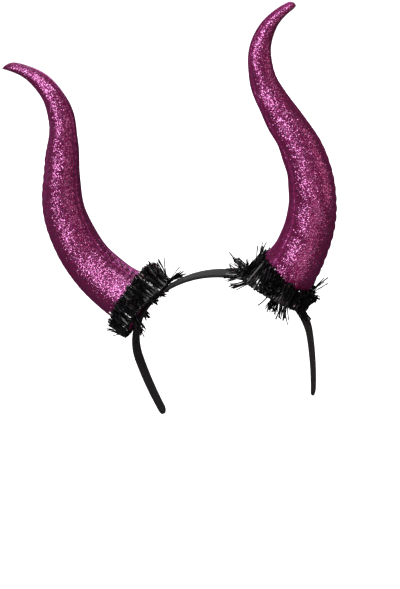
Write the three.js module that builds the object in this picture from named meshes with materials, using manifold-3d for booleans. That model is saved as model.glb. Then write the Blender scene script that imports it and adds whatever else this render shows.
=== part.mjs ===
// Devil horns: two stuffed horns of glitter cloth, each in a collar of tinsel, on a cloth-wrapped headband.
// Millimetres, +Z up. The front faces -Y, and +X is to the right of someone who looks at the front.
// The origin is the crown point: the middle of the band's top, on its inside.

import * as THREE from 'three';
import { mergeVertices } from 'three/addons/utils/BufferGeometryUtils.js';
import Module from 'manifold-3d';

const wasm = await Module();
wasm.setup();

const PIECE_GAP = 0.3;

// Headband: arcs of its inside line, from the crown down one side, each up to a turn from the vertical.
const BAND_ARCS = [
  { radius: 94, endTurn: 42 },
  { radius: 52, endTurn: 95 },
  { radius: 320, endTurn: 104 },
];
const BAND_THICKNESS = 3;
const BAND_WIDTH_CROWN = 20;
const BAND_WIDTH_END = 13;
const BAND_STEP = 8;
const BAND_SIDES = 10;
const BAND_SQUARENESS = 0.5;
const BAND_END_STEPS = 4;
const BAND_END_NARROWEST = 0.25;

// Horns: rows from the seat on the band to the tip. Lean is the middle line's angle from the vertical,
// outwards positive. It changes evenly from row to row, so that each stretch is a circular arc.
const HORN_ROWS = [
  { along: 0, lean: 47, radius: 26 },
  { along: 24, lean: 47, radius: 24 },
  { along: 64, lean: 26, radius: 21.6 },
  { along: 104, lean: 5, radius: 19.8 },
  { along: 139, lean: -16, radius: 17.3 },
  { along: 168, lean: -21, radius: 14.9 },
  { along: 193, lean: -12, radius: 12.2 },
  { along: 223, lean: 18, radius: 9.7 },
  { along: 253, lean: 53, radius: 5.9 },
  { along: 277, lean: 77, radius: 3.2 },
];
const HORN_SEAT_TURN = 40;
const HORN_ROOT = 10;
const HORN_SIDES = 16;
const NOSE_LENGTH = 6;
const NOSE_BIAS = 0.6;
const NOSE_STEPS = 4;
const NOSE_NARROWEST = 0.2;

// The seams run along the horn's inner and outer edge, and each stitch pulls the cloth in.
const STITCH_PITCH = 7.2;
const STITCH_PULL = 1.0;
const PUFF_PULL = 0.2;
const SEAM_HALF_ANGLE = 0.4;

// Tinsel: a thick ring on the band round the horn's base, and tiers of strips that stand out of it.
// Out is measured from the horn's base radius and height from the seat, square to the band there.
const RING_PROFILE = [
  { out: -3, height: 0.4 },
  { out: 8, height: 0.4 },
  { out: 12, height: 6 },
  { out: 9.5, height: 14 },
  { out: 4, height: 18.5 },
  { out: -3, height: 18.5 },
];
const RING_STEPS = 24;
const STRIP_TIERS = [
  { count: 19, out: 3, height: 12, tilt: 5, length: 16 },
  { count: 16, out: 7, height: 10, tilt: 24, length: 17 },
  { count: 13, out: 8, height: 8, tilt: 52, length: 16 },
  { count: 11, out: 8, height: 5, tilt: 82, length: 15 },
  { count: 6, out: 7, height: 4, tilt: 104, length: 15 },
];
const STRIP_WIDTH_ROOT = 5.2;
const STRIP_WIDTH_TIP = 2.6;
const STRIP_THICKNESS = 1.1;
const STRIP_TURN_SPREAD = 0.3;
const STRIP_TILT_SPREAD = 7;
const STRIP_LENGTH_SPREAD = 3.5;
const STRIP_TWIST_SPREAD = 40;

const CUTTER_SIDES = 160;
const CUTTER_DEPTH = 80;
const MERGE_DISTANCE = 1e-4;

// Each collar's strips are scattered from a number of its own.
const FIRST_NUMBERS = { left: 1000, right: 0 };

const GLITTER_CLOTH = { color: 0x8c2f6e, roughness: 0.45, metalness: 0.3 };
const BLACK_FILM = { color: 0x0c0b0d, roughness: 0.25, metalness: 0.4 };
const BLACK_CLOTH = { color: 0x141214, roughness: 0.85, metalness: 0 };

const radians = THREE.MathUtils.degToRad;
const mix = THREE.MathUtils.lerp;

// A repeatable scatter between -1 and 1 for each whole number.
function scatter(number) {
  const wave = Math.sin(number * 12.9898) * 43758.5453;
  return 2 * (wave - Math.floor(wave)) - 1;
}

// A closed solid through rings with equally many points, each ring counterclockwise seen from the last one.
function skin(rings) {
  const sides = rings[0].length;
  const positions = rings.flat().flatMap((point) => point.toArray());
  const faces = [];
  for (let ring = 0; ring + 1 < rings.length; ring += 1) {
    for (let side = 0; side < sides; side += 1) {
      const a = ring * sides + side;
      const b = ring * sides + ((side + 1) % sides);
      faces.push(a, b, b + sides, a, b + sides, a + sides);
    }
  }
  const last = (rings.length - 1) * sides;
  for (let side = 1; side + 1 < sides; side += 1) {
    faces.push(0, side + 1, side, last, last + side, last + side + 1);
  }
  const geometry = new THREE.BufferGeometry();
  geometry.setAttribute('position', new THREE.Float32BufferAttribute(positions, 3));
  geometry.setIndex(faces);
  return geometry;
}

function toSolid(geometry) {
  const bare = geometry.clone();
  bare.deleteAttribute('normal');
  bare.deleteAttribute('uv');
  const merged = mergeVertices(bare, MERGE_DISTANCE);
  return new wasm.Manifold(new wasm.Mesh({
    numProp: 3,
    vertProperties: new Float32Array(merged.attributes.position.array),
    triVerts: new Uint32Array(merged.index.array),
  }));
}

function fromSolid(solid) {
  const mesh = solid.getMesh();
  const geometry = new THREE.BufferGeometry();
  geometry.setAttribute('position', new THREE.Float32BufferAttribute(mesh.vertProperties, 3));
  geometry.setIndex(Array.from(mesh.triVerts));
  return geometry;
}

// The other side's piece: the same solid, reflected in the middle plane.
function mirrored(geometry) {
  const copy = geometry.clone().applyMatrix4(new THREE.Matrix4().makeScale(-1, 1, 1));
  const index = copy.index.array;
  for (let corner = 0; corner < index.length; corner += 3) {
    [index[corner + 1], index[corner + 2]] = [index[corner + 2], index[corner + 1]];
  }
  return copy;
}

function piece(name, geometry, finish) {
  geometry.computeVertexNormals();
  const mesh = new THREE.Mesh(geometry, new THREE.MeshStandardMaterial(finish));
  mesh.name = name;
  return mesh;
}

function bandHalfLength() {
  let startTurn = 0;
  let length = 0;
  for (const arc of BAND_ARCS) {
    length += arc.radius * radians(arc.endTurn - startTurn);
    startTurn = arc.endTurn;
  }
  return length;
}

// A place on the band's inside line, so far along it from the crown. Past its arcs the line runs on straight.
function bandPlace(along) {
  const side = Math.sign(along) || 1;
  let left = Math.abs(along);
  let turn = 0;
  let x = 0;
  let z = 0;
  for (const arc of BAND_ARCS) {
    const endTurn = radians(arc.endTurn);
    const reached = Math.min(turn + left / arc.radius, endTurn);
    x += arc.radius * (Math.sin(reached) - Math.sin(turn));
    z += arc.radius * (Math.cos(reached) - Math.cos(turn));
    left -= arc.radius * (reached - turn);
    turn = reached;
  }
  x += left * Math.cos(turn);
  z -= left * Math.sin(turn);
  return { x: side * x, z, turn: side * turn };
}

// The band's section is a rectangle with round corners, across Y and along the band's outward direction.
function bandRing(along, width) {
  const { x, z, turn } = bandPlace(along);
  const ring = [];
  for (let side = 0; side < BAND_SIDES; side += 1) {
    const angle = ((side + 0.5) / BAND_SIDES) * 2 * Math.PI;
    const across = Math.sign(Math.cos(angle)) * Math.abs(Math.cos(angle)) ** BAND_SQUARENESS;
    const raised = Math.sign(Math.sin(angle)) * Math.abs(Math.sin(angle)) ** BAND_SQUARENESS;
    const out = (BAND_THICKNESS / 2) * (1 + raised);
    ring.push(new THREE.Vector3(x + out * Math.sin(turn), (across * width) / 2, z + out * Math.cos(turn)));
  }
  return ring;
}

function headband() {
  const half = bandHalfLength();
  const steps = Math.round(half / BAND_STEP);
  const rows = [];
  for (let step = 0; step <= steps; step += 1) {
    const share = step / steps;
    rows.push({ along: share * half, width: mix(BAND_WIDTH_CROWN, BAND_WIDTH_END, share ** 2) });
  }
  for (let step = 1; step <= BAND_END_STEPS; step += 1) {
    const angle = ((step / BAND_END_STEPS) * Math.PI) / 2;
    const width = BAND_WIDTH_END * Math.max(Math.cos(angle), BAND_END_NARROWEST);
    rows.push({ along: half + (BAND_WIDTH_END / 2) * Math.sin(angle), width });
  }
  const farSide = rows.slice(1).reverse().map((row) => ({ along: -row.along, width: row.width }));
  return skin([...farSide, ...rows].map((row) => bandRing(row.along, row.width)));
}

function hornSeat() {
  const turn = radians(HORN_SEAT_TURN);
  const { x, z } = bandPlace(BAND_ARCS[0].radius * turn);
  return new THREE.Vector3(x + BAND_THICKNESS * Math.sin(turn), 0, z + BAND_THICKNESS * Math.cos(turn));
}

// A column of the horn's rows at a distance along it, evenly between its two rows.
function hornValue(column, along) {
  const next = Math.max(1, HORN_ROWS.findIndex((row) => row.along >= along));
  const upper = HORN_ROWS[next];
  const lower = HORN_ROWS[next - 1];
  return mix(lower[column], upper[column], (along - lower.along) / (upper.along - lower.along));
}

// How far a stitch pulls the cloth in, at a place along a seam and an angle round the horn.
function stitchPull(along, angle) {
  const fromSeam = Math.asin(Math.abs(Math.sin(angle)));
  const pulled = mix(PUFF_PULL, STITCH_PULL, 0.5 + 0.5 * Math.cos((2 * Math.PI * along) / STITCH_PITCH));
  return pulled * Math.exp(-((fromSeam / SEAM_HALF_ANGLE) ** 2));
}

// The nose rounds off the tip, and its point lies nearer to the outer edge.
function hornRing(centre, lean, along, grown) {
  const length = HORN_ROWS.at(-1).along;
  const intoNose = Math.max(0, (along - (length - NOSE_LENGTH)) / NOSE_LENGTH);
  const nose = Math.max(NOSE_NARROWEST, Math.sqrt(1 - Math.min(intoNose, 1) ** 2));
  const full = hornValue('radius', along);
  const outwards = new THREE.Vector3(Math.cos(lean), 0, -Math.sin(lean));
  const middle = centre.clone().addScaledVector(outwards, NOSE_BIAS * full * (1 - nose));
  const ring = [];
  for (let side = 0; side < HORN_SIDES; side += 1) {
    const angle = (side / HORN_SIDES) * 2 * Math.PI;
    const radius = (full - Math.min(stitchPull(along, angle), full / 4)) * nose + grown;
    const point = middle.clone().addScaledVector(outwards, radius * Math.cos(angle));
    point.y += radius * Math.sin(angle);
    ring.push(point);
  }
  return ring;
}

// Places for the horn's rings: two to a stitch up to the nose, then closer together round the tip.
function hornStations() {
  const length = HORN_ROWS.at(-1).along;
  const stations = [-HORN_ROOT];
  for (let along = 0; along < length - NOSE_LENGTH; along += STITCH_PITCH / 2) {
    stations.push(along);
  }
  for (let step = 0; step <= NOSE_STEPS; step += 1) {
    stations.push(length - NOSE_LENGTH * (1 - Math.sin(((step / NOSE_STEPS) * Math.PI) / 2)));
  }
  return stations;
}

// The right horn's body, with its middle line in the XZ plane, made larger all round by a clearance.
function hornBody(grown) {
  const rings = [];
  const centre = hornSeat();
  let from = 0;
  for (const along of hornStations()) {
    const middleLean = radians(hornValue('lean', (from + along) / 2));
    const step = along - from;
    centre.add(new THREE.Vector3(step * Math.sin(middleLean), 0, step * Math.cos(middleLean)));
    rings.push(hornRing(centre, radians(hornValue('lean', along)), along, grown));
    from = along;
  }
  return toSolid(skin(rings));
}

// The horn's foot is hollowed to sit on the band.
function horn() {
  const crown = BAND_ARCS[0].radius;
  const reach = crown + BAND_THICKNESS + PIECE_GAP;
  const underBand = new THREE.CylinderGeometry(reach, reach, CUTTER_DEPTH, CUTTER_SIDES);
  underBand.translate(0, 0, -crown);
  return fromSolid(hornBody(0).subtract(toSolid(underBand)));
}

// The ring stands about +Z, with its foot at the seat.
function tinselRing() {
  const closed = [...RING_PROFILE, RING_PROFILE[0]];
  const profile = closed.map(({ out, height }) => new THREE.Vector2(HORN_ROWS[0].radius + out, height));
  return new THREE.LatheGeometry(profile, RING_STEPS).rotateX(Math.PI / 2);
}

// One strip: it starts inside the ring and narrows to its end, tilted outwards and twisted.
function tinselStrip({ turn, out, height, tilt, length, twist }) {
  const outwards = new THREE.Vector3(Math.cos(turn), Math.sin(turn), 0);
  const sideways = new THREE.Vector3(-Math.sin(turn), Math.cos(turn), 0);
  const ahead = new THREE.Vector3(0, 0, Math.cos(tilt)).addScaledVector(outwards, Math.sin(tilt));
  const root = outwards.clone().multiplyScalar(HORN_ROWS[0].radius + out);
  root.z = height;
  const ends = [
    { place: root, width: STRIP_WIDTH_ROOT, twist: 0 },
    { place: root.clone().addScaledVector(ahead, length), width: STRIP_WIDTH_TIP, twist },
  ];
  const corners = [[1, 1], [-1, 1], [-1, -1], [1, -1]];
  return skin(ends.map((end) => {
    const across = sideways.clone().applyAxisAngle(ahead, end.twist);
    const thin = ahead.clone().cross(across);
    return corners.map(([wide, deep]) => end.place.clone()
      .addScaledVector(across, (wide * end.width) / 2)
      .addScaledVector(thin, (deep * STRIP_THICKNESS) / 2));
  }));
}

// The right collar: the ring and its strips in one, set square on the band and cut clear of the horn.
function tinsel(firstNumber) {
  const shapes = [tinselRing()];
  let number = firstNumber;
  for (const [row, tier] of STRIP_TIERS.entries()) {
    for (let place = 0; place < tier.count; place += 1) {
      number += 4;
      const evenly = place + 0.5 * (row % 2) + STRIP_TURN_SPREAD * scatter(number);
      shapes.push(tinselStrip({
        ...tier,
        turn: (evenly / tier.count) * 2 * Math.PI,
        tilt: radians(tier.tilt + STRIP_TILT_SPREAD * scatter(number + 1)),
        length: tier.length + STRIP_LENGTH_SPREAD * scatter(number + 2),
        twist: radians(STRIP_TWIST_SPREAD * scatter(number + 3)),
      }));
    }
  }
  const seat = hornSeat();
  const placed = shapes.map((shape) => shape.rotateY(radians(HORN_SEAT_TURN)).translate(...seat));
  const fused = placed.map(toSolid).reduce((whole, strip) => whole.add(strip));
  return fromSolid(fused.subtract(hornBody(PIECE_GAP)));
}

const devilHorns = new THREE.Group();
const rightHorn = horn();
devilHorns.add(
  piece('headband', headband(), BLACK_CLOTH),
  piece('horn_right', rightHorn, GLITTER_CLOTH),
  piece('horn_left', mirrored(rightHorn), GLITTER_CLOTH),
  piece('tinsel_right', tinsel(FIRST_NUMBERS.right), BLACK_FILM),
  piece('tinsel_left', mirrored(tinsel(FIRST_NUMBERS.left)), BLACK_FILM),
);

export default devilHorns;
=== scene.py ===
"""Devil horns: two stuffed horns of glitter cloth in collars of black tinsel, on a cloth-wrapped headband.

Sizes are in millimetres until a mesh is made, and meshes are in metres. +Z is up, the front faces -Y, and
+X is to the right of someone who looks at the front. The origin is the crown point, on the inside of the
band's top.
"""

import logging
from dataclasses import astuple, dataclass, field
from enum import Enum
from functools import cached_property
from typing import Any

import bpy
import numpy as np
from bpy.types import ColorRamp, Material, NodeSocket, Object, World
from mathutils import Matrix, Vector


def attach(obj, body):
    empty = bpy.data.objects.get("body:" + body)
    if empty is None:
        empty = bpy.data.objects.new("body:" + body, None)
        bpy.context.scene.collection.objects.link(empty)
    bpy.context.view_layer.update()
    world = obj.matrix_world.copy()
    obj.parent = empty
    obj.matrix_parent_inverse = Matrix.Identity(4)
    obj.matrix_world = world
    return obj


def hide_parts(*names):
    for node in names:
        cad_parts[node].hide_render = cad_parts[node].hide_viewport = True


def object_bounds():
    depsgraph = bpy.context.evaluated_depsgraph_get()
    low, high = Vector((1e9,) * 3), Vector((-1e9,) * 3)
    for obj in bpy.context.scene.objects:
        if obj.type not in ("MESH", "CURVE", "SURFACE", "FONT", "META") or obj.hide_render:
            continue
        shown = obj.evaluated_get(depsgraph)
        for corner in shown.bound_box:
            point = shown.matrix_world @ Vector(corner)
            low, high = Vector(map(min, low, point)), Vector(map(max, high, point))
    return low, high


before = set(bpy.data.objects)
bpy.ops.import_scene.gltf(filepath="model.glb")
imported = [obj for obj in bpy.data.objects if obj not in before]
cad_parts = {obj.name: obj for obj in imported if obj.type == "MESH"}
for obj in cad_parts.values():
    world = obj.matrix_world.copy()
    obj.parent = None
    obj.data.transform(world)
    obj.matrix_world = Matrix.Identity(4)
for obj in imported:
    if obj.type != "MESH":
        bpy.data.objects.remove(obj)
CAD_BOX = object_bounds()

LOG = logging.getLogger("devil_horns")
MM = 0.001
TURN = 2 * np.pi

Array = np.ndarray
Span = tuple[float, float]
Colour = tuple[float, float, float, float]


class Side(Enum):
    """A side of the part, as seen from the front. The value is the sign of X there."""

    LEFT = -1
    RIGHT = 1

    @property
    def label(self) -> str:
        """The ending of this side's piece names."""
        return self.name.lower()


def by_side(left: Any, right: Any) -> Any:
    """A field of a dataclass that holds a value for each side."""
    return field(default_factory=lambda: {Side.LEFT: left, Side.RIGHT: right})


class Wire:
    """An output socket of a shader node. Arithmetic on it adds Math nodes."""

    def __init__(self, shader: "Shader", socket: NodeSocket) -> None:
        """Keeps the socket and the shader that it belongs to."""
        self.shader = shader
        self.socket = socket

    def out(self, name: str | int) -> "Wire":
        """Another output of the same node."""
        return Wire(self.shader, self.socket.node.outputs[name])

    def math(self, operation: str, first: "Value", second: "Value" = 0.0) -> "Wire":
        """The output of a Math node with two values."""
        return self.shader.node("Math", {"operation": operation}, {0: first, 1: second})

    def __add__(self, other: "Value") -> "Wire":
        """This value plus another one."""
        return self.math("ADD", self, other)

    __radd__ = __add__

    def __sub__(self, other: "Value") -> "Wire":
        """This value less another one."""
        return self.math("SUBTRACT", self, other)

    def __rsub__(self, other: "Value") -> "Wire":
        """Another value less this one."""
        return self.math("SUBTRACT", other, self)

    def __mul__(self, other: "Value") -> "Wire":
        """This value times another one."""
        return self.math("MULTIPLY", self, other)

    __rmul__ = __mul__

    def __gt__(self, other: "Value") -> "Wire":
        """One where this value is the larger, and nought elsewhere."""
        return self.math("GREATER_THAN", self, other)

    def __lt__(self, other: "Value") -> "Wire":
        """One where this value is the smaller, and nought elsewhere."""
        return self.math("LESS_THAN", self, other)


Value = Wire | float


class Shader:
    """The nodes of a material or of the surround."""

    def __init__(self, owner: Material | World) -> None:
        """Starts with no nodes.

        Args:
            owner: the material or the surround.
        """
        self.owner = owner
        self.owner.use_nodes = True
        self.tree = self.owner.node_tree
        self.tree.nodes.clear()

    def node(self, kind: str, settings: dict | None = None, inputs: dict | None = None) -> Wire:
        """Adds a node.

        Args:
            kind: the node's type, without the word ShaderNode.
            settings: its properties, set first. The stops of a ramp are pairs of place and colour.
            inputs: values or wires for its sockets, by name or number.

        Returns:
            The node's first output, or no socket for the material's output node.
        """
        made = self.tree.nodes.new("ShaderNode" + kind)
        for key, value in (settings or {}).items():
            if key == "stops":
                self.fill_ramp(made.color_ramp, value)
            else:
                setattr(made, key, value)
        for key, value in (inputs or {}).items():
            if isinstance(value, Wire):
                self.tree.links.new(value.socket, made.inputs[key])
            else:
                made.inputs[key].default_value = value
        return Wire(self, made.outputs[0] if made.outputs else None)

    @staticmethod
    def fill_ramp(ramp: ColorRamp, stops: list[tuple[float, Colour]]) -> None:
        """Gives a ramp its stops.

        Args:
            ramp: the ramp, with the two stops that it starts with.
            stops: pairs of place and colour, from first to last.
        """
        while len(ramp.elements) < len(stops):
            ramp.elements.new(1.0)
        for element, (place, colour) in zip(ramp.elements, stops):
            element.position = place
            element.color = colour

    def mix(self, share: Value, first: "Wire | Colour", second: "Wire | Colour") -> Wire:
        """A colour between two, by the share of the second one."""
        return self.node("Mix", {"data_type": "RGBA"}, {0: share, 6: first, 7: second}).out(2)

    def vector(self, operation: str, inputs: dict) -> Wire:
        """The vector output of a Vector Math node."""
        return self.node("VectorMath", {"operation": operation}, inputs)

    def ramp(self, value: Wire, stops: list[tuple[float, Colour]]) -> Wire:
        """The colour of a ramp at a value."""
        return self.node("ValToRGB", {"stops": stops}, {"Fac": value})

    def noise(self, scale: float, detail: float) -> Wire:
        """Noise in space, with so many grains to a metre."""
        place = self.node("TexCoord").out("Object")
        return self.node("TexNoise", {}, {"Vector": place, "Scale": scale, "Detail": detail})

    def step(self, value: Wire, start: float, end: float) -> Wire:
        """A smooth step from nought at one value to one at another."""
        settings = {"interpolation_type": "SMOOTHSTEP"}
        return self.node("MapRange", settings, {"Value": value, "From Min": start, "From Max": end})

    def finish(self, inputs: dict, over: dict | None = None, share: Value = 0.0) -> Material:
        """Ends the nodes in a Principled shader, or in two of them.

        Args:
            inputs: values or wires for the shader's sockets.
            over: the same for a second shader, laid over the first one.
            share: the share of the light that the second shader takes.

        Returns:
            The material.
        """
        surface = self.node("BsdfPrincipled", inputs=inputs)
        if over:
            top = self.node("BsdfPrincipled", inputs=over)
            surface = self.node("MixShader", inputs={0: share, 1: surface, 2: top})
        self.node("OutputMaterial", inputs={"Surface": surface})
        return self.owner


def grey(value: float) -> Colour:
    """A grey of one value."""
    return (value, value, value, 1.0)


@dataclass(frozen=True)
class GlitterCloth:
    """Cloth covered with glitter: sheer flakes in two sizes, each with a tilt and a colour of its own.

    A flake is metallic where its random number is above bright_from, and as dark as the cloth elsewhere.
    """

    flake: float = 0.66
    fine_flake: float = 0.44
    fine_share: float = 0.5
    flake_edge: Span = (0.45, 0.7)
    tilt: Span = (0.4, 1.1)
    tilt_power: float = 4.0
    tilt_shuffle: float = 37.0
    cloth: Colour = (0.12, 0.0015, 0.029, 1.0)
    bright_from: float = 0.56
    flakes: tuple[tuple[float, Colour], ...] = (
        (0.0, (0.12, 0.0012, 0.03, 1.0)),
        (0.55, (0.24, 0.0025, 0.058, 1.0)),
        (0.57, (0.39, 0.055, 0.25, 1.0)),
        (1.0, (0.5, 0.11, 0.36, 1.0)),
    )
    mirrors: tuple[tuple[float, Colour], ...] = (
        (0.56, (0.7, 0.42, 0.62, 1.0)),
        (1.0, (0.95, 0.75, 0.92, 1.0)),
    )
    mirror_share: float = 0.21
    mirror_roughness: float = 0.15
    cloth_roughness: float = 0.35
    flake_roughness: float = 0.15
    cloth_gloss: float = 1.0
    gloss: Colour = (1.0, 0.15, 0.8, 1.0)
    sheen: Colour = (0.5, 0.25, 0.7, 1.0)
    sheen_weight: float = 0.02
    sheen_roughness: float = 0.3
    seam_share: float = 0.6
    away_span: Span = (0.38, 0.9)
    away_dulling: float = 0.85
    away_roughness: float = 0.5

    def flake_layer(self, shader: Shader, place: Wire, size: float) -> tuple[Wire, Wire, Wire]:
        """Flakes as the cells of a Voronoi pattern in space.

        Args:
            shader: the material's nodes.
            place: the point on the cloth.
            size: the flakes' size in millimetres.

        Returns:
            The distance from a flake's middle, its random tilt as a colour, and its random number.
        """
        inputs = {"Vector": place, "Scale": 1 / (size * MM)}
        cell = shader.node("TexVoronoi", {"voronoi_dimensions": "3D", "feature": "F1"}, inputs)
        number = shader.node("TexWhiteNoise", {"noise_dimensions": "3D"}, {"Vector": cell.out("Position")})
        return cell, cell.out("Color"), number

    def material(self) -> Material:
        """The cloth's material: tilted metallic flakes over dark cloth, and none of them along the seams.

        A flake's tilt grows with a power of a second random number, so that few flakes are steep. Seen from
        low down the flakes hide each other's faces, so the gloss is duller where the cloth turns away.

        Returns:
            The material.
        """
        shader = Shader(bpy.data.materials.new("glitter_cloth"))
        place = shader.node("TexCoord").out("Object")
        wide, wide_tilt, wide_number = self.flake_layer(shader, place, self.flake)
        fine, fine_tilt, fine_number = self.flake_layer(shader, place, self.fine_flake)
        is_fine = wide_number < self.fine_share
        tilt = shader.mix(is_fine, wide_tilt, fine_tilt)
        number = fine_number * is_fine + wide_number * (1.0 - is_fine)
        distance = fine * is_fine + wide * (1.0 - is_fine)
        covered = 1.0 - shader.step(distance, *self.flake_edge)
        seam = shader.node("Attribute", {"attribute_name": "seam"}).out("Fac")
        bright = covered * (number > self.bright_from) * (1.0 - seam)
        least, most = self.tilt
        chance = number.math("FRACT", number * self.tilt_shuffle)
        steep = number.math("POWER", chance, self.tilt_power) * (most - least) + least
        lean = shader.vector("SUBTRACT", {0: tilt, 1: (0.5, 0.5, 0.5)})
        lean = shader.vector("SCALE", {0: lean, "Scale": steep})
        facing = shader.vector("ADD", {0: shader.node("NewGeometry").out("Normal"), 1: lean})
        facing = shader.vector("NORMALIZE", {0: facing})
        colour = shader.mix(covered, self.cloth, shader.ramp(number, list(self.flakes)))
        away = shader.node("LayerWeight", {}, {"Blend": 0.5}).out("Facing")
        dull = shader.step(away, *self.away_span) * self.away_dulling
        roughness = bright * (self.flake_roughness - self.cloth_roughness) + self.cloth_roughness
        cloth = {
            "Base Color": shader.mix(seam * self.seam_share, colour, self.cloth),
            "Metallic": bright,
            "Roughness": roughness + dull * self.away_roughness,
            "Specular IOR Level": self.cloth_gloss,
            "Specular Tint": self.gloss,
            "Normal": facing,
            "Sheen Weight": self.sheen_weight,
            "Sheen Roughness": self.sheen_roughness,
            "Sheen Tint": self.sheen,
        }
        mirror = {
            "Base Color": shader.ramp(number, list(self.mirrors)),
            "Metallic": 1.0,
            "Roughness": self.mirror_roughness,
            "Specular Tint": self.gloss,
            "Normal": facing,
        }
        return shader.finish(cloth, mirror, bright * (1.0 - dull) * self.mirror_share)


@dataclass(frozen=True)
class BlackFilm:
    """Glossy black film, cut in strips."""

    dark: Colour = (0.002, 0.002, 0.0025, 1.0)
    pale: Colour = (0.006, 0.006, 0.007, 1.0)
    grain: float = 3.0
    detail: float = 2.0
    mottle: Span = (0.3, 0.7)
    roughness: float = 0.08
    pale_roughness: float = 0.1
    gloss: float = 0.3
    shiny_from: float = 0.75
    coat_from: float = 0.5
    coat_ior: float = 2.5
    coat_roughness: float = 0.06

    def material(self) -> Material:
        """The film's material: its black is mottled, and some strips have patches of a stronger gloss.

        Returns:
            The material.
        """
        shader = Shader(bpy.data.materials.new("black_film"))
        noise = shader.noise(1 / (self.grain * MM), self.detail)
        share = shader.step(noise, *self.mottle)
        number = shader.node("Attribute", {"attribute_name": "strip"}).out("Fac")
        return shader.finish({
            "Base Color": shader.mix(share, self.dark, self.pale),
            "Roughness": self.roughness + share * self.pale_roughness,
            "Specular IOR Level": self.gloss,
            "Coat Weight": (number > self.shiny_from) * (noise > self.coat_from),
            "Coat IOR": self.coat_ior,
            "Coat Roughness": self.coat_roughness,
        })


@dataclass(frozen=True)
class WrappedCloth:
    """Matte black cloth with a plain weave, wrapped round the band."""

    thread: float = 0.7
    dark: Colour = (0.006, 0.0055, 0.006, 1.0)
    pale: Colour = (0.018, 0.017, 0.018, 1.0)
    wear_scale: float = 90.0
    wear_detail: float = 4.0
    wear_share: float = 0.7
    wear_span: Span = (0.35, 0.7)
    thread_height: float = 0.15
    bump: float = 0.5
    roughness: float = 0.75
    worn_roughness: float = 0.2
    gloss: float = 0.3
    sheen_weight: float = 0.05
    sheen_roughness: float = 0.5

    def material(self) -> Material:
        """The cloth's material: threads over and under each other, a product of sines on the band's own map.

        Returns:
            The material.
        """
        shader = Shader(bpy.data.materials.new("black_cloth"))
        threads = shader.node("SeparateXYZ", {}, {0: shader.node("UVMap", {"uv_map": "wrap"})})
        rate = TURN / 2 / (self.thread * MM)
        along = threads.math("SINE", threads * rate)
        across = threads.math("SINE", threads.out("Y") * rate)
        height = along * across * 0.5 + 0.5
        worn = shader.noise(self.wear_scale, self.wear_detail)
        shade = worn * self.wear_share + height * (1.0 - self.wear_share)
        bump = {"Strength": self.bump, "Distance": self.thread_height * MM, "Height": height}
        return shader.finish({
            "Base Color": shader.mix(shader.step(shade, *self.wear_span), self.dark, self.pale),
            "Roughness": self.roughness + worn * self.worn_roughness,
            "Normal": shader.node("Bump", {}, bump),
            "Specular IOR Level": self.gloss,
            "Sheen Weight": self.sheen_weight,
            "Sheen Roughness": self.sheen_roughness,
        })


@dataclass(frozen=True)
class PaleFloor:
    """Plain pale paper under the part."""

    light: Colour = (0.93, 0.93, 0.93, 1.0)
    shade: Colour = (0.91, 0.91, 0.91, 1.0)
    mottle_scale: float = 30.0
    mottle_detail: float = 3.0
    roughness: float = 0.9
    glow: float = 1.08

    def material(self) -> Material:
        """The floor's material: white with a faint mottle and a glow.

        Returns:
            The material.
        """
        shader = Shader(bpy.data.materials.new("pale_floor"))
        noise = shader.noise(self.mottle_scale, self.mottle_detail)
        colour = shader.mix(noise, self.light, self.shade)
        glow = {"Emission Color": colour, "Emission Strength": self.glow}
        return shader.finish({"Base Color": colour, "Roughness": self.roughness} | glow)


def grid_quads(rows: int, columns: int, closed_rows: bool = False) -> Array:
    """Faces of a grid of points whose columns run round a tube.

    Each face joins a point, the next point round, and the two points above them.

    Args:
        rows: the number of rings.
        columns: the number of points in a ring.
        closed_rows: whether the last ring joins the first one.

    Returns:
        Four point numbers for each face.
    """
    row = np.arange(rows if closed_rows else rows - 1)[:, None]
    column = np.arange(columns)[None, :]
    above = (row + 1) % rows
    beside = (column + 1) % columns
    low, high = row * columns, above * columns
    corners = [low + column, low + beside, high + beside, high + column]
    return np.stack(corners, axis=-1).reshape(-1, 4)


def fan(ring: Array, pole: int) -> Array:
    """Triangles between a ring of point numbers and a pole, in the ring's order."""
    return np.stack([ring, np.roll(ring, -1), np.full_like(ring, pole)], axis=-1)


def tube_faces(rows: int, columns: int) -> tuple[Array, Array]:
    """Faces of a closed tube: a grid of rings, and a pole for each end after the grid's points.

    Args:
        rows: the number of rings.
        columns: the number of points in a ring.

    Returns:
        Four point numbers for each face of the grid, and three for each triangle at a pole.
    """
    first = np.arange(columns)
    start, end = rows * columns, rows * columns + 1
    ends = [fan(first[::-1], start), fan(first + (rows - 1) * columns, end)]
    return grid_quads(rows, columns), np.concatenate(ends)


def enclosed(points: Array, quads: Array, triangles: Array) -> float:
    """Signed volume inside closed faces: a sixth of the triple products of all triangles' corners.

    Args:
        points: the points.
        quads: four point numbers for each face with four corners.
        triangles: three point numbers for each triangle.

    Returns:
        The volume, negative where the faces point inwards.
    """
    corners = np.concatenate([triangles, quads[:, [0, 1, 2]], quads[:, [0, 2, 3]]])
    a, b, c = (points[corners[:, index]] for index in range(3))
    return float(np.einsum("ij,ij->i", a, np.cross(b, c)).sum() / 6)


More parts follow.
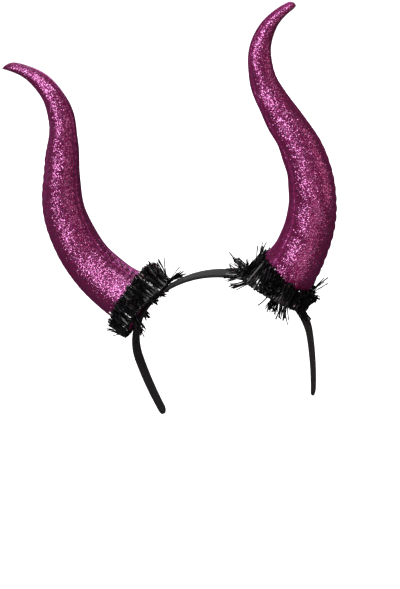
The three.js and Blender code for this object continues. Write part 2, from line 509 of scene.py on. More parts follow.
def make_piece(name: str, points: Array, quads: Array, triangles: Array, smooth: bool) -> Object:
    """Makes a mesh piece from arrays, with its faces outwards.

    Args:
        name: the piece's name.
        points: the points in millimetres, three numbers each.
        quads: four point numbers for each face with four corners.
        triangles: three point numbers for each triangle.
        smooth: whether the faces are shaded as one surface.

    Returns:
        The object, at the origin.
    """
    if enclosed(points, quads, triangles) < 0:
        quads, triangles = quads[:, ::-1], triangles[:, ::-1]
    mesh = bpy.data.meshes.new(name)
    mesh.vertices.add(len(points))
    mesh.vertices.foreach_set("co", (points * MM).astype(np.float32).ravel())
    loops = np.concatenate([quads.ravel(), triangles.ravel()]).astype(np.int32)
    starts = np.concatenate([np.arange(len(quads)) * 4, 4 * len(quads) + np.arange(len(triangles)) * 3])
    mesh.loops.add(len(loops))
    mesh.loops.foreach_set("vertex_index", loops)
    mesh.polygons.add(len(starts))
    mesh.polygons.foreach_set("loop_start", starts.astype(np.int32))
    mesh.polygons.foreach_set("use_smooth", np.full(len(starts), smooth))
    mesh.update(calc_edges=True)
    mesh.validate()
    made = bpy.data.objects.new(name, mesh)
    bpy.context.scene.collection.objects.link(made)
    return made


def add_values(made: Object, name: str, values: Array) -> None:
    """Gives each point of a piece a number that its material reads."""
    attribute = made.data.attributes.new(name, "FLOAT", "POINT")
    attribute.data.foreach_set("value", values.astype(np.float32).ravel())


def install(made: Object, finish: Material, node: str) -> None:
    """Dresses a piece and puts it in the place of its solid.

    Args:
        made: the piece.
        finish: its material.
        node: the solid that it stands for.
    """
    made.data.materials.append(finish)
    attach(made, "root")
    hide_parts(node)


def signed_power(value: Array, power: float) -> Array:
    """A power of a number's size, with the number's sign."""
    return np.sign(value) * np.abs(value) ** power


def running_total(values: Array, step: float) -> Array:
    """The integral of evenly spaced values from the first one on, by trapezoids."""
    return np.concatenate([[0.0], np.cumsum((values[1:] + values[:-1]) * step / 2)])


@dataclass
class Headband:
    """The headband: a flat U of arcs with round ends, wrapped in cloth that overlaps along its inside."""

    arc_radii: tuple[float, ...] = (94.0, 52.0, 320.0)
    arc_end_turns: tuple[float, ...] = (42.0, 95.0, 104.0)
    thickness: float = 3.0
    width_crown: float = 20.0
    width_end: float = 13.0
    squareness: float = 0.5
    table_points: int = 6001
    rows: int = 420
    columns: int = 72
    end_reach: float = 0.998
    end_crowding: float = 0.3
    end_thinning: float = 0.45
    overlap: float = 0.35
    overlap_at: float = 1.2
    overlap_softness: float = 0.25

    @cached_property
    def arc_ends(self) -> tuple[Array, Array]:
        """Distances from the crown at which the arcs begin and end, and the line's turn there."""
        turns = np.radians([0.0, *self.arc_end_turns])
        return np.concatenate([[0.0], np.cumsum(np.diff(turns) * self.arc_radii)]), turns

    @property
    def half(self) -> float:
        """Length of the inside line from the crown to the end of the last arc."""
        return float(self.arc_ends[0][-1])

    def place(self, along: Array) -> tuple[Array, Array, Array]:
        """Places on the inside line.

        The turn grows evenly along each arc, and the place is the running total of its direction.

        Args:
            along: distances from the crown, negative on the left.

        Returns:
            X, Z and the line's turn at each distance.
        """
        lengths, turns = self.arc_ends
        table = np.linspace(0.0, self.half + self.width_end, self.table_points)
        turn = np.interp(table, lengths, turns)
        x = running_total(np.cos(turn), table[1])
        z = -running_total(np.sin(turn), table[1])
        far, side = np.abs(along), np.sign(along)
        return side * np.interp(far, table, x), np.interp(far, table, z), side * np.interp(far, table, turn)

    def build(self) -> Object:
        """The band's mesh: a rounded rectangle carried along the inside line.

        The rings crowd a little towards both ends, where the width falls off as a half circle. On the inside
        a low step runs along the band where the cloth overlaps, a logistic curve across it.

        Returns:
            The band.
        """
        reach = self.half + self.width_end / 2
        crowded = reach * np.sin(np.linspace(-1, 1, self.rows) * np.pi / 2 * self.end_reach)
        even = np.linspace(crowded[0], crowded[-1], self.rows)
        along = even + self.end_crowding * (crowded - even)
        beyond = np.clip((np.abs(along) - self.half) / (self.width_end / 2), 0, 1)
        share = np.clip(np.abs(along) / self.half, 0, 1)
        width = self.width_crown + (self.width_end - self.width_crown) * share ** 2
        width = width * np.sqrt(1 - beyond ** 2)
        round_off = 1 - self.end_thinning * beyond ** 4
        angle = np.arange(self.columns) / self.columns * TURN
        across = signed_power(np.cos(angle), self.squareness)[None, :] * width[:, None] / 2
        raised = signed_power(np.sin(angle), self.squareness)[None, :] * round_off[:, None]
        inside = np.clip(-raised, 0, 1) ** 4
        step = self.overlap * inside / (1 + np.exp((self.overlap_at - across) / self.overlap_softness))
        out = self.thickness / 2 * (1 + raised) - step
        x, z, turn = (values[:, None] for values in self.place(along))
        grid = np.stack([x + out * np.sin(turn), across + 0 * x, z + out * np.cos(turn)], axis=-1)
        poles = grid[[0, -1]].mean(axis=1)
        points = np.concatenate([grid.reshape(-1, 3), poles])
        quads, triangles = tube_faces(self.rows, self.columns)
        made = make_piece("headband_wrapped", points, quads, triangles, smooth=True)
        self.add_map(made, along, width)
        return made

    def add_map(self, made: Object, along: Array, width: Array) -> None:
        """Gives the band a map in metres: the way along it, and the way round its section.

        Args:
            made: the band.
            along: the distance of each ring from the crown.
            width: the band's width at each ring.
        """
        numbers = np.empty(len(made.data.loops), np.int32)
        made.data.loops.foreach_get("vertex_index", numbers)
        last = self.rows * self.columns
        row = np.where(numbers < last, numbers // self.columns, (numbers - last) * (self.rows - 1))
        angle = np.where(numbers < last, numbers % self.columns, 0) / self.columns * TURN
        across = signed_power(np.cos(angle), self.squareness) * width[row] / 2
        uv = np.stack([along[row], across + self.thickness * np.sign(np.sin(angle))], axis=-1)
        layer = made.data.uv_layers.new(name="wrap")
        layer.data.foreach_set("uv", (uv * MM).astype(np.float32).ravel())

    def dress(self, made: Object, finish: Material) -> None:
        """Puts the wrapped band in the place of its solid."""
        install(made, finish, "headband")


@dataclass(frozen=True)
class Nose:
    """The rounding of a horn's tip: its length, its profile's power, and its shift to the outer edge."""

    length: float
    power: float
    bias: float


@dataclass
class Horn:
    """A stuffed horn of two panels, sewn along the inner and the outer edge.

    Its middle line lies in the XZ plane. Lean is that line's angle from the vertical in degrees, outwards
    positive. It changes evenly from row to row, so that each stretch is a circular arc. The horn is made for
    the right side, and the left one is mirrored at the end.
    """

    band: Headband
    side: Side
    alongs: tuple[float, ...] = (0, 24, 64, 104, 139, 168, 193, 223, 253, 277)
    leans: tuple[float, ...] = (47, 47, 26, 5, -16, -21, -12, 18, 53, 77)
    radii: tuple[float, ...] = (26, 24, 21.6, 19.8, 17.3, 14.9, 12.2, 9.7, 5.9, 3.2)
    seat_turn: float = 40.0
    gap: float = 0.3
    line_start: float = -20.0
    line_points: int = 8001
    foot_span: float = 15.0
    foot_points: int = 601
    foot_blend: float = 40.0
    noses: dict[Side, Nose] = by_side(left=Nose(12.0, 0.7, 0.9), right=Nose(5.0, 0.42, 0.5))
    rows: int = 560
    columns: int = 160
    nose_rows: int = 16
    foot_rows: int = 8
    seed: int = 31
    stitch_pitch: float = 7.2
    stitch_power: float = 1.4
    drift_waves: int = 3
    drift_sizes: Span = (0.3, 0.9)
    drift_lengths: Span = (9, 30)
    seam_turns: dict[Side, Span] = by_side(left=(0.0, 200.0), right=(0.0, 234.0))
    stitch_pulls: dict[Side, Span] = by_side(left=(1.25, 0.45), right=(0.9, 0.35))
    seam_crowding: float = 0.3
    seam_reach: float = 1.3
    puff_pull: float = 0.1
    pucker_reach: float = 7.5
    pucker_tops: dict[Side, float] = by_side(left=190.0, right=155.0)
    pucker_fade: float = 45.0
    pucker_least: float = 0.15
    groove_depth: float = 0.55
    groove_reach: float = 1.1
    lump: float = 0.125
    lump_rounds: tuple[int, ...] = (1, 2, 2, 3, 3, 4)
    lump_lengths: Span = (28, 75)
    tight_length: float = 30.0
    tight_length_least: float = 0.25
    tight_radius: float = 12.0
    tight_radius_least: float = 0.3
    fill: float = 0.92

    @property
    def length(self) -> float:
        """Length of the middle line from the seat to the tip."""
        return float(self.alongs[-1])

    @property
    def clear_radius(self) -> float:
        """Radius of the cylinder round the crown arc's middle that just clears the band."""
        return self.band.arc_radii[0] + self.band.thickness + self.gap

    @cached_property
    def seat(self) -> Array:
        """The start of the middle line.

        Returns:
            A point on the band's outer surface.
        """
        turn = np.radians(self.seat_turn)
        x, z, _ = self.band.place(np.array(self.band.arc_radii[0] * turn))
        out = self.band.thickness
        return np.array([x + out * np.sin(turn), 0.0, z + out * np.cos(turn)])

    @cached_property
    def line(self) -> tuple[Array, Array]:
        """A fine table of the middle line, the running total of the direction that the lean gives.

        Returns:
            Distances along the line, and places less the seat.
        """
        along = np.linspace(self.line_start, self.length, self.line_points)
        lean = self.lean(along)
        step = along[1] - along[0]
        total = np.stack([running_total(np.sin(lean), step), running_total(np.cos(lean), step)], axis=-1)
        start = [np.interp(0.0, along, total[:, axis]) for axis in range(2)]
        return along, total - start

    def lean(self, along: Array) -> Array:
        """The middle line's lean in radians at distances along it."""
        return np.radians(np.interp(along, self.alongs, self.leans))

    def middle(self, along: Array) -> Array:
        """Points of the middle line.

        Args:
            along: distances along it.

        Returns:
            The points.
        """
        table, places = self.line
        x = self.seat[0] + np.interp(along, table, places[:, 0])
        z = self.seat[2] + np.interp(along, table, places[:, 1])
        return np.stack([x, np.zeros_like(x), z], axis=-1)

    def radius(self, along: Array) -> Array:
        """The horn's radius: a cubic from row to row, with each row's slope the mean of those beside it.

        Args:
            along: distances along the middle line.

        Returns:
            The radius at each distance.
        """
        place, value = np.array(self.alongs, float), np.array(self.radii, float)
        slope = np.gradient(value, place)
        along = np.clip(along, 0, self.length)
        row = np.clip(np.searchsorted(place, along, side="right") - 1, 0, len(place) - 2)
        span = place[row + 1] - place[row]
        t = (along - place[row]) / span
        start = (1 + 2 * t) * (1 - t) ** 2 * value[row] + t * (1 - t) ** 2 * span * slope[row]
        return start + t ** 2 * (3 - 2 * t) * value[row + 1] - t ** 2 * (1 - t) * span * slope[row + 1]

    def outwards(self, along: Array) -> Array:
        """Directions square to the middle line, in its plane, towards the outer edge."""
        lean = self.lean(along)
        return np.stack([np.cos(lean), np.zeros_like(lean), -np.sin(lean)], axis=-1)

    def surface(self, along: Array, angle: Array, radius: Array, shift: Array | float = 0.0) -> Array:
        """Points on rings square to the middle line.

        A point is the ring's middle, plus the outward direction times the cosine, plus +Y times the sine.

        Args:
            along: distances along the middle line.
            angle: angles round it, from the outer edge by way of the back.
            radius: distances from it.
            shift: how far a ring's middle lies off the line, towards the outer edge.

        Returns:
            The points.
        """
        point = self.middle(along) + self.outwards(along) * (radius * np.cos(angle) + shift)[..., None]
        point[..., 1] += radius * np.sin(angle)
        return point

    def foot_start(self, angle: Array) -> Array:
        """Where the horn's surface meets the band: the first place that is clear of the band's cylinder.

        Args:
            angle: angles round the middle line.

        Returns:
            Distances along the middle line.
        """
        along = np.linspace(-self.foot_span, self.foot_span, self.foot_points)
        table = np.broadcast_to(along[:, None], (self.foot_points, len(angle)))
        point = self.surface(table, np.broadcast_to(angle, table.shape), self.radius(table))
        crown = self.band.arc_radii[0]
        clear = np.hypot(point[..., 0], point[..., 2] + crown) > self.clear_radius
        return along[np.argmax(clear, axis=0)]

    @staticmethod
    def seam_distance(angle: Array, radius: Array, turn: float) -> Array:
        """Distances round the horn from the seam at a turn in degrees."""
        return np.abs((angle - np.radians(turn) + np.pi) % TURN - np.pi) * radius

    def relief(self, along: Array, angle: Array, radius: Array) -> Array:
        """How far the cloth lies off the plain radius.

        Each stitch pulls the cloth in near a seam, by a power of a cosine along it. The pull falls off as a
        bell curve with the distance from the seam and fades towards the tip, where the cloth is tight. The
        seam itself is a narrow groove, and the stuffing pushes out wide low lumps, a few sine waves in both
        directions.

        Args:
            along: distances along the middle line.
            angle: angles round it.
            radius: the plain radius.

        Returns:
            Distances in millimetres, negative inwards.
        """
        random = np.random.default_rng(self.seed + self.side.value)
        relief = np.zeros_like(along)
        top = self.pucker_tops[self.side]
        slack = np.clip((top - along) / self.pucker_fade, self.pucker_least, 1)
        for turn, stitch_pull in zip(self.seam_turns[self.side], self.stitch_pulls[self.side]):
            off = self.seam_distance(angle, radius, turn)
            drift = sum(
                random.uniform(*self.drift_sizes)
                * np.sin(along / random.uniform(*self.drift_lengths) + random.uniform(0, TURN))
                for _ in range(self.drift_waves)
            )
            wave = (0.5 + 0.5 * np.cos((along + drift) / self.stitch_pitch * TURN)) ** self.stitch_power
            pull = self.puff_pull + (stitch_pull - self.puff_pull) * wave * slack
            relief -= pull * np.exp(-((off / self.pucker_reach) ** 2))
            relief -= self.groove_depth * np.exp(-((off / self.groove_reach) ** 2))
        for rounds in self.lump_rounds:
            rate = TURN / random.uniform(*self.lump_lengths)
            phase = random.uniform(0, TURN)
            relief += self.lump * np.sin(rate * along + rounds * angle + phase)
        near_tip = np.clip((self.length - along) / self.tight_length, self.tight_length_least, 1)
        return relief * near_tip * np.clip(radius / self.tight_radius, self.tight_radius_least, 1)

    def build(self) -> Object:
        """The horn's mesh: rings from the band's surface to the rounded tip, with points closer at the seams.

        Towards the tip the radius falls off by a power of one less the square of the way into the nose, and
        the ring's middle moves outwards by a share of what the radius loses.

        Returns:
            The horn.
        """
        nose = self.noses[self.side]
        outer, inner = self.seam_turns[self.side]
        even = np.arange(self.columns) / self.columns * TURN
        crowded = even - self.seam_crowding * np.sin(2 * even)
        angle = np.interp(crowded, [0.0, np.pi, TURN], np.radians([outer, inner, outer + 360.0]))
        body = np.linspace(0, self.length - nose.length, self.rows)
        rounding = np.sin(np.arange(1, self.nose_rows) / self.nose_rows * np.pi / 2)
        tip = self.length - nose.length * (1 - rounding)
        base = np.concatenate([body, tip])[:, None]
        along = base + self.foot_start(angle)[None, :] * np.clip(1 - base / self.foot_blend, 0, 1) ** 2
        angle = np.broadcast_to(angle, along.shape)
        full = self.radius(along)
        into_nose = np.clip((along - self.length + nose.length) / nose.length, 0, 1)
        share = (1 - into_nose ** 2) ** nose.power
        radius = (full + self.relief(along, angle, full)) * share
        grid = self.surface(along, angle, radius, nose.bias * full * (1 - share))
        foot = self.foot_rings(grid[0])
        end = self.surface(np.array([self.length]), np.zeros(1), np.zeros(1), nose.bias * self.radii[-1])
        rings = np.concatenate([foot[1:], grid])
        points = np.concatenate([rings.reshape(-1, 3), foot[:1, 0], end])
        points[:, 0] *= self.side.value
        quads, triangles = tube_faces(len(rings), self.columns)
        made = make_piece(f"horn_{self.side.label}_cloth", points, quads, triangles, smooth=True)
        off = np.minimum(self.seam_distance(angle, full, outer), self.seam_distance(angle, full, inner))
        seam = np.exp(-((off / self.seam_reach) ** 2)).ravel()
        below = np.zeros((len(foot) - 1) * self.columns)
        add_values(made, "seam", np.concatenate([below, seam, [0.0, 0.0]]))
        return made

    def foot_rings(self, rim: Array) -> Array:
        """Rings that close the foot: shares of the way out to the rim, lifted onto the band's cylinder.

        Args:
            rim: the horn's lowest ring.

        Returns:
            Rings from the middle, where all points are one, to the ring before the rim.
        """
        share = np.linspace(0, 1, self.foot_rows + 1)[:-1, None, None]
        rings = rim.mean(axis=0) + share * (rim - rim.mean(axis=0))
        crown = self.band.arc_radii[0]
        turn = np.arctan2(rings[..., 0], rings[..., 2] + crown)
        rings[..., 0] = self.clear_radius * np.sin(turn)
        rings[..., 2] = self.clear_radius * np.cos(turn) - crown
        return rings

    def dress(self, made: Object, finish: Material) -> None:
        """Puts the stuffed horn in the place of its solid."""
        install(made, finish, f"horn_{self.side.label}")


class Lock(Enum):
    """A way that a lock of strips stands: its share of the locks, and its least and greatest tilt."""

    UPRIGHT = (0.85, -9, 9)
    SLANTED = (0.05, 20, 50)
    HANGING = (0.1, 85, 130)


@dataclass(frozen=True)
class Upright:
    """Upright strips at one turn round a collar: the turn and their tilt in degrees, and their length."""

    turn: float
    tilt: float
    length: float


@dataclass(frozen=True)
class Tuft:
    """Strips that stand out of a collar together: their turn, tilt, count and length, and their spread."""

    turn: float
    tilt: float
    count: int
    length: float
    spread: float = 9.0


@dataclass
class TinselCollar:
    """A garland of film strips, wound twice round the horn's foot. It stands square on the band at the seat.

    Turn goes round the horn from its outer edge by way of the back, and tilt is a strip's angle from the
    collar's axis, outwards positive. A strip's scatter in its lock is that of its tilt, its turn in radians
    and its length. Bends are means and spreads in degrees: the bend away from the axis, the lean to one side,
    and the bend to that side. Twists are the spreads of a strip's turn about its line, at its root and from
    there to its tip.
    """

    horn: Horn
    base_radius: float = 26.0
    windings: tuple[Span, ...] = ((2.6, 1.6), (5.8, 2.2))
    cord_radius: float = 1.5
    cord_lobe: float = 0.2
    cord_twists: int = 60
    cord_rows: int = 260
    cord_columns: int = 14
    seed: int = 70
    locks: int = 150
    lock_jitter: float = 0.8
    lock_strips: int = 17
    leaning_longest: float = 15.0
    edge_cosine: float = 0.7
    edge_tilt: float = 0.3
    stations: int = 8
    length_scatter: float = 1.2
    strip_scatter: tuple[float, float, float] = (5, 0.05, 0.8)
    bends: tuple[Span, ...] = ((3, 8), (0, 5), (0, 7))
    twists: Span = (25, 45)
    width: Span = (0.85, 1.4)
    thickness: float = 0.12
    clearance: float = 0.45
    clear_span: Span = (-12.0, 60.0)
    clear_points: int = 145
    band_margin: float = 1.5
    uprights: dict[Side, tuple[Upright, ...]] = by_side(
        left=(
            Upright(0, -10, 13), Upright(45, -10, 14), Upright(90, -8, 17), Upright(135, -9, 19),
            Upright(180, -9, 19), Upright(225, -9, 19), Upright(270, -8, 17), Upright(315, -8, 14),
        ),
        right=(
            Upright(0, -12, 9), Upright(45, -15, 9), Upright(90, -12, 12), Upright(135, -22, 17),
            Upright(180, -30, 22), Upright(225, -25, 22), Upright(261, -15, 20), Upright(290, -8, 16),
            Upright(312, -5, 13), Upright(345, -8, 10),
        ),
    )
    tufts: dict[Side, tuple[Tuft, ...]] = by_side(
        left=(
            Tuft(180, 15, 3, 18.0, 4), Tuft(182, 33, 5, 19.5, 4), Tuft(182, 92, 3, 19.0, 5),
            Tuft(184, 100, 1, 22.0, 3), Tuft(0, 25, 3, 14.0, 6), Tuft(-5, 55, 2, 15.0, 8),
        ),
        right=(
            Tuft(180, 66, 7, 15.5, 6), Tuft(184, 60, 4, 17.0, 4), Tuft(186, 78, 6, 12.0, 7),
            Tuft(150, 2, 3, 24.0, 5), Tuft(150, 18, 3, 17.0, 5), Tuft(30, 26, 9, 19.0, 6),
        ),
    )

    @cached_property
    def random(self) -> np.random.Generator:
        """The source of this collar's scatter."""
        return np.random.default_rng(self.seed + self.horn.side.value)

    def to_part(self, points: Array) -> Array:
        """Turns points by the seat's turn and moves them to the seat.

        Args:
            points: points of the collar's own frame.

        Returns:
            The points in the part's frame.
        """
        turn = np.radians(self.horn.seat_turn)
        x, y, z = points[..., 0], points[..., 1], points[..., 2]
        turned_x = x * np.cos(turn) + z * np.sin(turn)
        turned_z = z * np.cos(turn) - x * np.sin(turn)
        return np.stack([turned_x, y, turned_z], axis=-1) + self.horn.seat

    def keep_clear(self, points: Array) -> Array:
        """Moves points out of the horn and the band.

        A point inside the horn goes straight away from the nearest place of the middle line to the horn's
        radius there. A point inside the band goes out to the band's outer cylinder.

        Args:
            points: points of the right side, in the part's frame.

        Returns:
            The moved points.
        """
        along = np.linspace(*self.clear_span, self.clear_points)
        line = self.horn.middle(along)
        away = points[..., None, :] - line
        nearest = np.argmin((away ** 2).sum(axis=-1), axis=-1)
        off = np.take_along_axis(away, nearest[..., None, None], axis=-2)[..., 0, :]
        far = np.maximum(np.linalg.norm(off, axis=-1), 1e-6)
        need = np.maximum(far, self.horn.radius(along[nearest]) + self.clearance)
        moved = line[nearest] + off * (need / far)[..., None]
        band = self.horn.band
        crown = band.arc_radii[0]
        lift = self.horn.clear_radius / np.hypot(moved[..., 0], moved[..., 2] + crown)
        over_band = np.abs(moved[..., 1]) < band.width_crown / 2 + self.band_margin
        scale = np.where(over_band, np.maximum(lift, 1.0), 1.0)
        moved[..., 0] *= scale
        moved[..., 2] = (moved[..., 2] + crown) * scale - crown
        return moved

    def sag(self, outwards: Array) -> Array:
        """How far the band's outer surface lies under the seat's plane, so far outwards from the seat."""
        reach = self.horn.band.arc_radii[0] + self.horn.band.thickness
        return reach - np.sqrt(reach ** 2 - outwards ** 2)

    def lock_values(self) -> tuple[Array, Array, Array]:
        """Turn, tilt and length of each strip: those of its lock, with a little scatter.

        A lock's mean length, and its mean tilt where it stands upright, go evenly from one of the side's
        turns to the next one. Locks that aren't upright are cut to a length, and slanted ones lean less at
        the horn's outer and inner edge.

        Returns:
            Turns and tilts in radians, and lengths.
        """
        random, locks = self.random, self.locks
        kinds = list(Lock)
        shares, lowest, highest = np.array([kind.value for kind in kinds]).T
        kind = random.choice(len(kinds), locks, p=shares)
        upright = kind == kinds.index(Lock.UPRIGHT)
        tilt = random.uniform(lowest[kind], highest[kind])
        turn = (np.arange(locks) + random.uniform(-self.lock_jitter, self.lock_jitter, locks)) / locks * TURN
        turns, tilts, lengths = np.array([astuple(row) for row in self.uprights[self.horn.side]]).T
        tilt += np.where(upright, np.interp(np.degrees(turn), turns, tilts, period=360), 0.0)
        at_edge = (kind == kinds.index(Lock.SLANTED)) & (np.abs(np.cos(turn)) > self.edge_cosine)
        tilt = np.where(at_edge, tilt * self.edge_tilt, tilt)
        length = np.interp(np.degrees(turn), turns, lengths, period=360)
        length = np.where(upright, length, np.minimum(length, self.leaning_longest))
        length = length + random.normal(0, self.length_scatter, locks)
        tilts, turns, lengths = (
            np.repeat(value, self.lock_strips) + random.normal(0, scatter, locks * self.lock_strips)
            for value, scatter in zip((tilt, turn, length), self.strip_scatter)
        )
        return turns, np.radians(tilts), lengths

    def strip_lines(self) -> tuple[Array, Array, Array]:
        """The strips' middle lines.

        A strip's direction is its tilt in the plane through the collar's axis, and a lean out of that plane.
        Both change evenly along the strip, and the line is the running total of the direction.

        Returns:
            Points, directions and sideways directions, each by strip and station.
        """
        random, count = self.random, self.locks * self.lock_strips
        turn, tilt, length = self.lock_values()
        for tuft in self.tufts[self.horn.side]:
            chosen = random.choice(count, tuft.count, replace=False)
            turn[chosen] = np.radians(tuft.turn + random.normal(0, tuft.spread, tuft.count))
            tilt[chosen] = np.radians(tuft.tilt + random.normal(0, tuft.spread, tuft.count))
            length[chosen] = tuft.length + random.normal(0, self.length_scatter, tuft.count)
        share = np.linspace(0, 1, self.stations)[None, :]
        bend, side_lean, side_bend = (
            np.radians(random.normal(mean, spread, count))[:, None] for mean, spread in self.bends
        )
        tilts = (tilt[:, None] + bend * share)[..., None]
        leans = (side_lean + side_bend * share)[..., None]
        radial = np.stack([np.cos(turn), np.sin(turn), np.zeros(count)], axis=-1)[:, None, :]
        tangent = np.stack([-np.sin(turn), np.cos(turn), np.zeros(count)], axis=-1)[:, None, :]
        axis = np.array([0.0, 0.0, 1.0])
        ahead = np.cos(leans) * (np.sin(tilts) * radial + np.cos(tilts) * axis) + np.sin(leans) * tangent
        winding = np.array(self.windings)[random.integers(0, len(self.windings), count)]
        scatter = random.normal(0, self.cord_radius / 2, (count, 2))
        far = self.base_radius + winding[:, 0] + scatter[:, 0]
        sag = self.sag(far * np.cos(turn))
        root = far[:, None, None] * radial + (winding[:, 1] + scatter[:, 1] - sag)[:, None, None] * axis
        step = ((length + sag * np.clip(np.cos(tilt), 0, 1)) / (self.stations - 1))[:, None, None]
        steps = (ahead[:, 1:] + ahead[:, :-1]) / 2 * step
        line = root + np.concatenate([np.zeros((count, 1, 3)), np.cumsum(steps, axis=1)], axis=1)
        return line, ahead, np.broadcast_to(tangent, ahead.shape)

    def strip_mesh(self) -> tuple[Array, Array]:
        """All strips in one: a thin rectangle carried along each middle line, with a twist.

        Returns:
            Points, and four point numbers for each face.
        """
        line, ahead, sideways = self.strip_lines()
        line = self.keep_clear(self.to_part(line))
        ahead = self.to_part(ahead) - self.horn.seat
        sideways = self.to_part(sideways) - self.horn.seat
        count, stations = line.shape[:2]
        share = np.linspace(0, 1, stations)[None, :]
        turned, twisted = (self.random.normal(0, spread, count)[:, None] for spread in self.twists)
        twist = np.radians(turned + twisted * share)[..., None]
        across = sideways - ahead * (sideways * ahead).sum(axis=-1, keepdims=True)
        across = across / np.linalg.norm(across, axis=-1, keepdims=True)
        thin = np.cross(ahead, across)
        wide = np.cos(twist) * across + np.sin(twist) * thin
        deep = np.cos(twist) * thin - np.sin(twist) * across
        width = self.random.uniform(*self.width, count)[:, None, None, None]
        corners = np.array([(1, 1), (-1, 1), (-1, -1), (1, -1)]) / 2
        points = line[:, :, None, :] + wide[:, :, None, :] * corners[:, :1] * width
        points = points + deep[:, :, None, :] * corners[:, 1:] * self.thickness
        ends = np.array([[3, 2, 1, 0], [0, 1, 2, 3]]) + np.array([[0], [4 * (stations - 1)]])
        strip = np.concatenate([grid_quads(stations, 4), ends])
        quads = strip[None] + (np.arange(count) * 4 * stations)[:, None, None]
        return points.reshape(-1, 3), quads.reshape(-1, 4)

    def cord_mesh(self) -> tuple[Array, Array]:
        """The cord's windings: rings with two rounded lobes, a cosine that turns along the cord.

        Returns:
            Points, and four point numbers for each face.
        """
        turn = np.arange(self.cord_rows)[:, None] / self.cord_rows * TURN
        round_cord = np.arange(self.cord_columns)[None, :] / self.cord_columns * TURN
        lobes = np.cos(2 * round_cord - self.cord_twists * turn)
        thick = self.cord_radius * (1 - self.cord_lobe + self.cord_lobe * lobes)
        points, quads = [], []
        for out, height in self.windings:
            far = self.base_radius + out + thick * np.cos(round_cord)
            x = far * np.cos(turn)
            z = height + thick * np.sin(round_cord) - self.sag(x)
            grid = np.stack([x, far * np.sin(turn), z], axis=-1)
            points.append(self.to_part(grid.reshape(-1, 3)))
            start = (len(points) - 1) * grid.shape[0] * grid.shape[1]
            quads.append(grid_quads(self.cord_rows, self.cord_columns, closed_rows=True)[:, ::-1] + start)
        return np.concatenate(points), np.concatenate(quads)

    def build(self) -> Object:
        """The collar's mesh: the strips and the cord that holds them.

        Returns:
            The collar.
        """
        side = self.horn.side
        strip_points, strip_quads = self.strip_mesh()
        cord_points, cord_quads = self.cord_mesh()
        points = np.concatenate([strip_points, cord_points])
        points[:, 0] *= side.value
        quads = np.concatenate([strip_quads, cord_quads + len(strip_points)])
        made = make_piece(f"tinsel_{side.label}_strips", points, quads, np.empty((0, 3), int), smooth=False)
        number = np.repeat(self.random.uniform(0, 1, self.locks * self.lock_strips), 4 * self.stations)
        add_values(made, "strip", np.append(number, np.zeros(len(cord_points))))
        return made

    def dress(self, made: Object, finish: Material) -> None:
        """Puts the collar in the place of its solid."""
        install(made, finish, f"tinsel_{self.horn.side.label}")


def direction(azimuth: float, elevation: float) -> Vector:
    """A unit vector from the origin: azimuth 0 is the front and 90 the right, elevation is upwards."""
    a, e = np.radians(azimuth), np.radians(elevation)
    return Vector((np.sin(a) * np.cos(e), -np.cos(a) * np.cos(e), np.sin(e)))


@dataclass(frozen=True)
class AreaLamp:
    """A soft square lamp: its direction in degrees, its distance and size in metres, its power and colour."""

    name: str
    azimuth: float
    elevation: float
    distance: float
    size: float
    power: float
    colour: tuple[float, float, float] = (1.0, 1.0, 1.0)
    aim_height: float = 0.06

    def hang(self) -> None:
        """Hangs the lamp in its direction from a point low on the horns, and turns it to that point."""
        data = bpy.data.lights.new(self.name, "AREA")
        data.energy = self.power
        data.size = self.size
        data.color = self.colour
        away = direction(self.azimuth, self.elevation)
        lamp = bpy.data.objects.new(self.name, data)
        lamp.location = away * self.distance + Vector((0, 0, self.aim_height))
        lamp.rotation_mode = "QUATERNION"
        lamp.rotation_quaternion = away.to_track_quat("Z", "Y")
        bpy.context.scene.collection.objects.link(lamp)


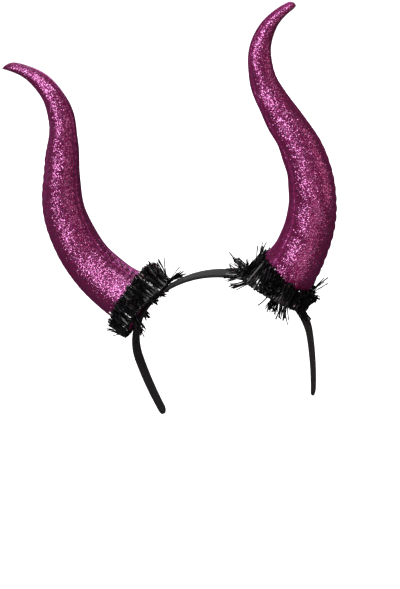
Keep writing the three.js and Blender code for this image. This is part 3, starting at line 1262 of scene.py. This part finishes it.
@dataclass
class Studio:
    """A pale floor, soft lamps, and the camera at the photograph's angle."""

    floor_half: float = 15.0
    floor_drop: float = 0.0005
    horizon_light: float = 0.08
    top_light: float = 1.0
    rise_power: float = 7.0
    lamps: tuple[AreaLamp, ...] = (
        AreaLamp("key_lamp", -14.0, 22.0, 1.9, 1.25, 25.0),
        AreaLamp("top_lamp", 40.0, 50.0, 1.2, 0.6, 5.4),
        AreaLamp("low_fill_lamp", 34.0, -24.0, 0.4, 0.25, 0.24, (1.0, 0.7, 0.72)),
        AreaLamp("warm_side_lamp", 90.0, -4.0, 1.6, 0.9, 4.2, (1.0, 0.6, 0.62)),
        AreaLamp("cool_side_lamp", -97.0, 8.0, 1.6, 0.5, 0.45, (0.85, 0.8, 1.0)),
        AreaLamp("back_lamp", 190.0, 25.0, 2.2, 1.3, 17.0),
    )
    azimuth: float = 20.68
    elevation: float = 14.96
    roll: float = 14.32
    distance: float = 1.4
    lens: float = 97.24
    sensor: float = 36.0
    shift: Span = (-0.0082, -0.0316)

    def build_floor(self) -> None:
        """A large flat square under the lowest point of the part."""
        half, height = self.floor_half, CAD_BOX[0][2] - self.floor_drop
        corners = [(-half, -half, height), (half, -half, height), (half, half, height), (-half, half, height)]
        mesh = bpy.data.meshes.new("floor")
        mesh.from_pydata(corners, [], [(0, 1, 2, 3)])
        floor = bpy.data.objects.new("floor", mesh)
        bpy.context.scene.collection.objects.link(floor)
        mesh.materials.append(PaleFloor().material())
        floor.visible_diffuse = floor.visible_glossy = False

    def build_light(self) -> None:
        """A white surround that grows brighter overhead, by a power of the height, and the lamps."""
        scene = bpy.context.scene
        scene.world = bpy.data.worlds.new("surround")
        shader = Shader(scene.world)
        height = shader.node("SeparateXYZ", {}, {0: shader.node("TexCoord")}).out("Z")
        height = height.math("MAXIMUM", height, 0.0)
        rise = height.math("POWER", height, self.rise_power)
        strength = rise * (self.top_light - self.horizon_light) + self.horizon_light
        background = shader.node("Background", {}, {"Color": grey(1.0), "Strength": strength})
        shader.node("OutputWorld", {}, {"Surface": background})
        for lamp in self.lamps:
            lamp.hang()

    def build_camera(self) -> None:
        """The camera at the photograph's angle, rolled as the band is tilted there."""
        back = direction(self.azimuth, self.elevation)
        right = Vector((np.cos(np.radians(self.azimuth)), np.sin(np.radians(self.azimuth)), 0.0))
        up = back.cross(right)
        roll = np.radians(self.roll)
        turned_right = np.cos(roll) * right - np.sin(roll) * up
        turned_up = np.sin(roll) * right + np.cos(roll) * up
        data = bpy.data.cameras.new("camera")
        data.sensor_fit = "VERTICAL"
        data.sensor_height = self.sensor
        data.sensor_width = self.sensor
        data.lens = self.lens
        data.shift_x, data.shift_y = self.shift
        camera = bpy.data.objects.new("camera", data)
        camera.matrix_world = Matrix((turned_right, turned_up, back)).transposed().to_4x4()
        camera.location = back * self.distance
        bpy.context.scene.collection.objects.link(camera)
        bpy.context.scene.camera = camera

    def build(self) -> None:
        """The whole studio, with plain display colours."""
        self.build_floor()
        self.build_light()
        self.build_camera()
        bpy.context.scene.view_settings.view_transform = "Standard"


def main() -> None:
    """Builds and dresses the pieces in order and reports each one, then builds the studio."""
    logging.basicConfig(level=logging.INFO, format="%(name)s: %(message)s")
    cloth, film = GlitterCloth().material(), BlackFilm().material()
    band = Headband()
    pieces = [band.build()]
    band.dress(pieces[-1], WrappedCloth().material())
    for side in Side:
        horn = Horn(band, side)
        pieces.append(horn.build())
        horn.dress(pieces[-1], cloth)
        collar = TinselCollar(horn)
        pieces.append(collar.build())
        collar.dress(pieces[-1], film)
    for piece in pieces:
        LOG.info("%s: %d faces", piece.name, len(piece.data.polygons))
    Studio().build()


if __name__ == "__main__":
    main()
